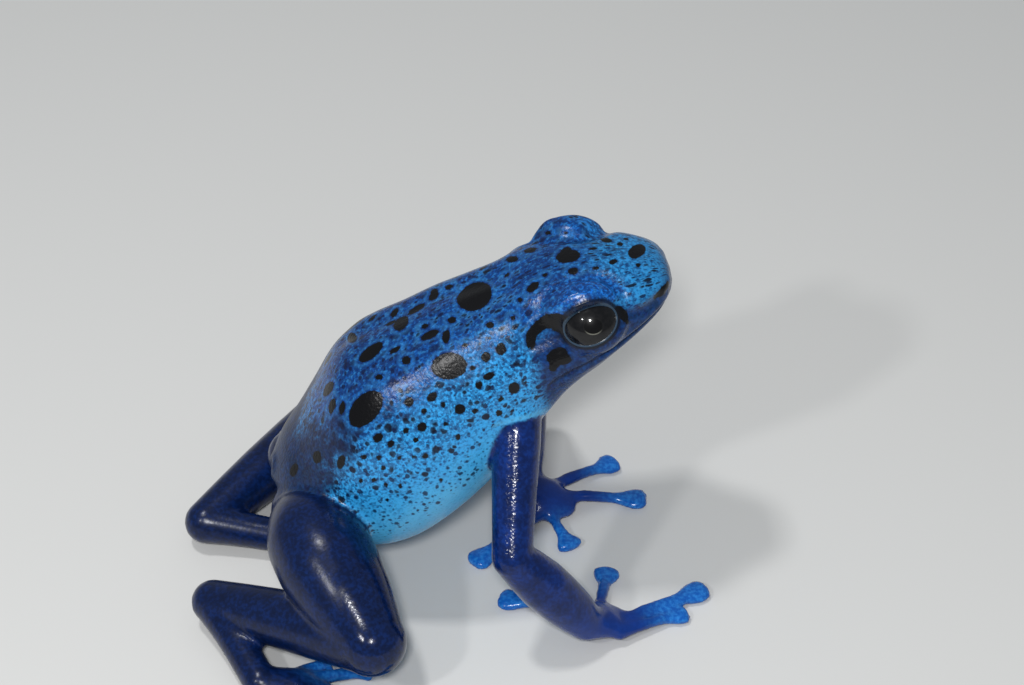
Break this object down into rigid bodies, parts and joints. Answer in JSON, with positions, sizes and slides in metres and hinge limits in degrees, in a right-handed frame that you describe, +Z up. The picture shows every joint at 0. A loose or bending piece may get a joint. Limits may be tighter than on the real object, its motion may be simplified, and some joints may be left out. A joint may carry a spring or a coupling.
{
  "type": "poison dart frog model",
  "caption": "Life-size still model of a blue poison dart frog sitting with its chest raised on splayed fore feet and folded hind legs.",
  "frame": {"origin": "middle of the footprint of the sitting frog, on the floor that it rests on", "axes": "+X the way the frog faces, +Y its left side, +Z up"},
  "size_m": [0.0452, 0.0408, 0.032],
  "materials": {
    "azure_skin": "moist, smooth, fine-grained frog skin in azure with black spots",
    "navy_skin": "moist, smooth frog skin in dark navy blue",
    "digit_skin": "moist, smooth skin of the toes in mid blue, brighter on the disks",
    "eye": "wet, glossy, near-black eyeball"
  },
  "bodies": {
    "root": {"torso": "azure_skin", "head": "azure_skin", "right_eye": "eye", "left_eye": "eye", "right_upper_arm": "navy_skin", "right_forearm": "navy_skin", "right_hand": "navy_skin", "right_finger_1": "digit_skin", "right_finger_2": "digit_skin", "right_finger_3": "digit_skin", "right_finger_4": "digit_skin", "left_upper_arm": "navy_skin", "left_forearm": "navy_skin", "left_hand": "navy_skin", "left_finger_1": "digit_skin", "left_finger_2": "digit_skin", "left_finger_3": "digit_skin", "left_finger_4": "digit_skin", "right_thigh": "navy_skin", "right_shank": "navy_skin", "right_tarsus": "navy_skin", "right_foot": "navy_skin", "right_toe_1": "digit_skin", "right_toe_2": "digit_skin", "right_toe_3": "digit_skin", "right_toe_4": "digit_skin", "right_toe_5": "digit_skin", "left_thigh": "navy_skin", "left_shank": "navy_skin", "left_tarsus": "navy_skin", "left_foot": "navy_skin", "left_toe_1": "digit_skin", "left_toe_2": "digit_skin", "left_toe_3": "digit_skin", "left_toe_4": "digit_skin", "left_toe_5": "digit_skin"}
  },
  "joints": []
}
